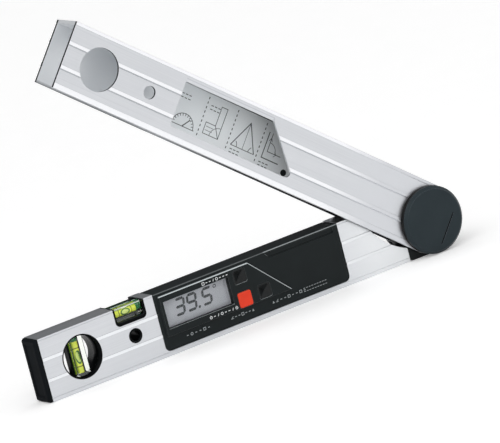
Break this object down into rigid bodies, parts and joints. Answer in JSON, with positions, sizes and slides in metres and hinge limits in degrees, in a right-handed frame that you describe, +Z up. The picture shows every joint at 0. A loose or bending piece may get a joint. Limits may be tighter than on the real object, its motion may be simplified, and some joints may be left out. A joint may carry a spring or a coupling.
{
  "type": "digital angle finder",
  "caption": "Digital angle finder: a box-profile leg with display and level vials, and a U-channel leg that folds over it on one hinge.",
  "frame": {"origin": "on the lower leg's measuring face, at the middle of its aluminium profile and of its depth", "axes": "+X along the lower leg towards the hinge, +Z up from the measuring face, front facing -Y"},
  "size_m": [0.4346, 0.0554, 0.307],
  "materials": {
    "anodised_aluminium": "satin anodised, lengthwise grain",
    "black_plastic": "fine moulded texture",
    "red_plastic": "moulded",
    "clear_acrylic": "polished",
    "vial_fluid": "clear liquid",
    "green_plastic": "moulded",
    "steel": "machined",
    "bearing_plastic": "moulded",
    "board_laminate": "laminate",
    "display_glass": "polished",
    "label_film": "printed film",
    "cell_sleeve": "shrink sleeve"
  },
  "bodies": {
    "base": {"base_profile": "anodised_aluminium", "end_cap": "black_plastic", "hinge_block": "black_plastic", "hinge_bush": "bearing_plastic", "front_thrust_washer": "bearing_plastic", "rear_thrust_washer": "bearing_plastic", "encoder_reader": "board_laminate", "display_cover": "black_plastic", "lcd_lens": "clear_acrylic", "lcd_module": "display_glass", "circuit_board": "board_laminate", "battery_tray": "black_plastic", "battery_1": "cell_sleeve", "battery_2": "cell_sleeve", "battery_3": "cell_sleeve", "battery_4": "cell_sleeve", "battery_contact_outer": "steel", "battery_contact_inner": "steel", "plumb_vial_holder": "black_plastic", "plumb_vial": "clear_acrylic", "plumb_vial_fluid": "vial_fluid", "plumb_vial_plug": "green_plastic", "level_vial_holder": "black_plastic", "level_vial": "clear_acrylic", "level_vial_fluid": "vial_fluid", "level_vial_plug": "green_plastic", "hanging_bush": "black_plastic"},
    "foldout": {"foldout_channel": "anodised_aluminium", "instruction_label": "label_film", "foldout_spacer": "black_plastic", "hub_cap": "black_plastic", "hinge_axle": "steel", "clamp_stud": "steel", "encoder_disc": "steel", "rear_hub": "black_plastic"},
    "power_button": {"power_button": "red_plastic"},
    "hold_button": {"hold_button": "black_plastic"},
    "mitre_button": {"mitre_button": "black_plastic"},
    "battery_door": {"battery_door": "black_plastic"},
    "lock_knob": {"lock_knob": "black_plastic"}
  },
  "joints": [
    {"name": "foldout_hinge", "type": "hinge", "parent": "base", "child": "foldout", "pos_m": [0.21325, 0, 0.0305], "axis": [0, 1, 0], "range_deg": [-39.5, 180.5]},
    {"name": "lock_knob_turn", "type": "hinge", "parent": "foldout", "child": "lock_knob", "pos_m": [0.21325, 0, 0.0305], "axis": [0, 1, 0], "range_deg": [0, 90]},
    {"name": "power_button_press", "type": "slide", "parent": "base", "child": "power_button", "axis": [0, 1, 0], "range_m": [0, 0.0012], "stiffness_N_per_m": 600},
    {"name": "hold_button_press", "type": "slide", "parent": "base", "child": "hold_button", "axis": [0, 1, 0], "range_m": [0, 0.0012], "stiffness_N_per_m": 600},
    {"name": "mitre_button_press", "type": "slide", "parent": "base", "child": "mitre_button", "axis": [0, 1, 0], "range_m": [0, 0.0012], "stiffness_N_per_m": 600},
    {"name": "battery_door_open", "type": "hinge", "parent": "base", "child": "battery_door", "pos_m": [0.0649, 0.012, 0.046], "axis": [1, 0, 0], "range_deg": [0, 70]}
  ]
}
